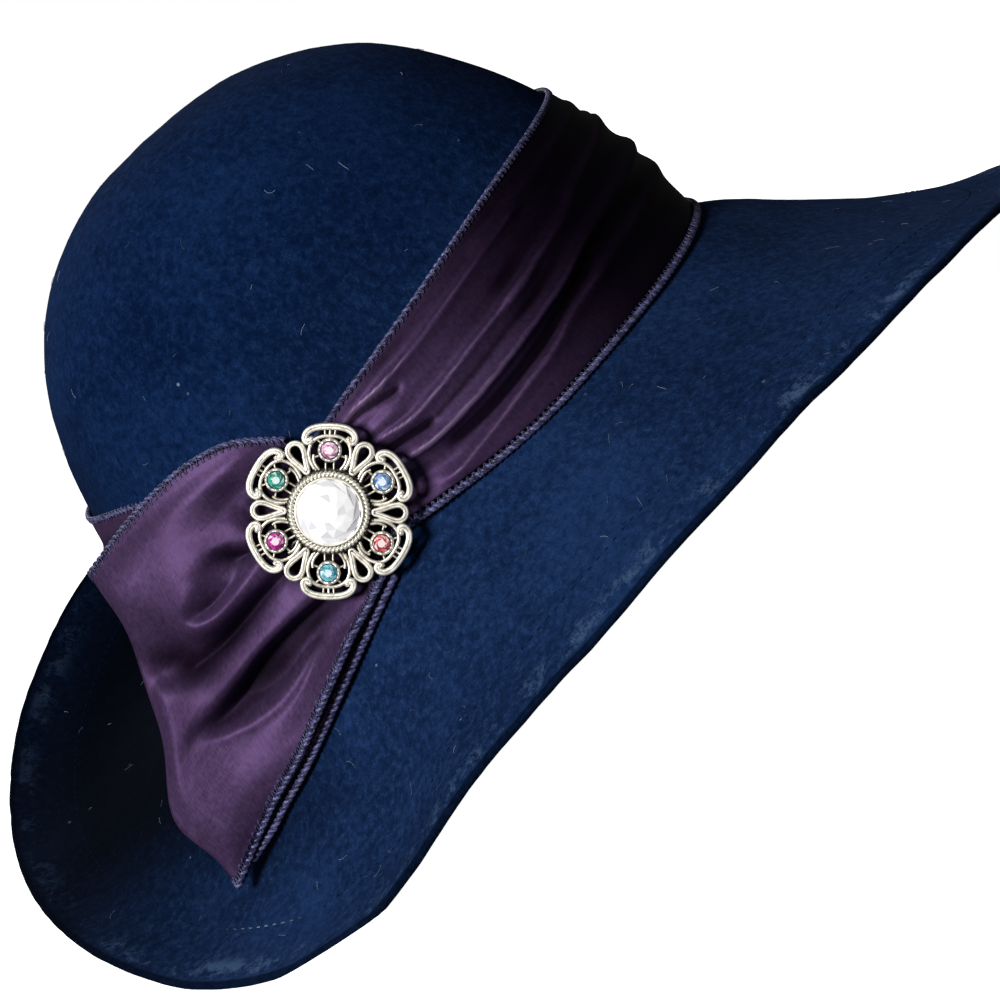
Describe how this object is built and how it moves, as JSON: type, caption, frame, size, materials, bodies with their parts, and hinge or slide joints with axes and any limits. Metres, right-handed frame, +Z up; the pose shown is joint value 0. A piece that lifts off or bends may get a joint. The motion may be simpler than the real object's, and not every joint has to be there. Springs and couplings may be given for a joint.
{
  "type": "wide-brimmed wool felt cloche hat with ribbon band and brooch",
  "caption": "Blocked felt hat with a rounded crown, a wavy wide brim turned up at the left back, a draped ribbon band with a folded loop, corded edges and a round pierced brooch.",
  "frame": {"origin": "on the floor that the hat rests on, under the middle of its outline seen from above", "axes": "+Z up through the crown; +X towards the long drooping side of the brim; -Y is the side with the brooch"},
  "size_m": [0.3817, 0.3258, 0.1911],
  "materials": {
    "navy_felt": "matt felt",
    "purple_ribbon": "soft sheen taffeta",
    "navy_cord": "twisted cord",
    "antique_silver": "antiqued cast silver",
    "clear_stone": "faceted, pearly",
    "pink_stone": "faceted",
    "sky_stone": "faceted",
    "coral_stone": "faceted",
    "aqua_stone": "faceted",
    "fuchsia_stone": "faceted",
    "green_stone": "faceted",
    "pin_steel": "satin"
  },
  "bodies": {
    "root": {"felt_body": "navy_felt", "ribbon_band": "purple_ribbon", "ribbon_loop": "purple_ribbon", "band_edge_cord_upper": "navy_cord", "band_edge_cord_lower": "navy_cord", "loop_edge_cord_upper": "navy_cord", "loop_edge_cord_lower": "navy_cord", "brooch_frame": "antique_silver", "centre_stone": "clear_stone", "stone_pink": "pink_stone", "stone_sky": "sky_stone", "stone_coral": "coral_stone", "stone_aqua": "aqua_stone", "stone_fuchsia": "fuchsia_stone", "stone_green": "green_stone", "brooch_pin": "pin_steel"}
  },
  "joints": []
}
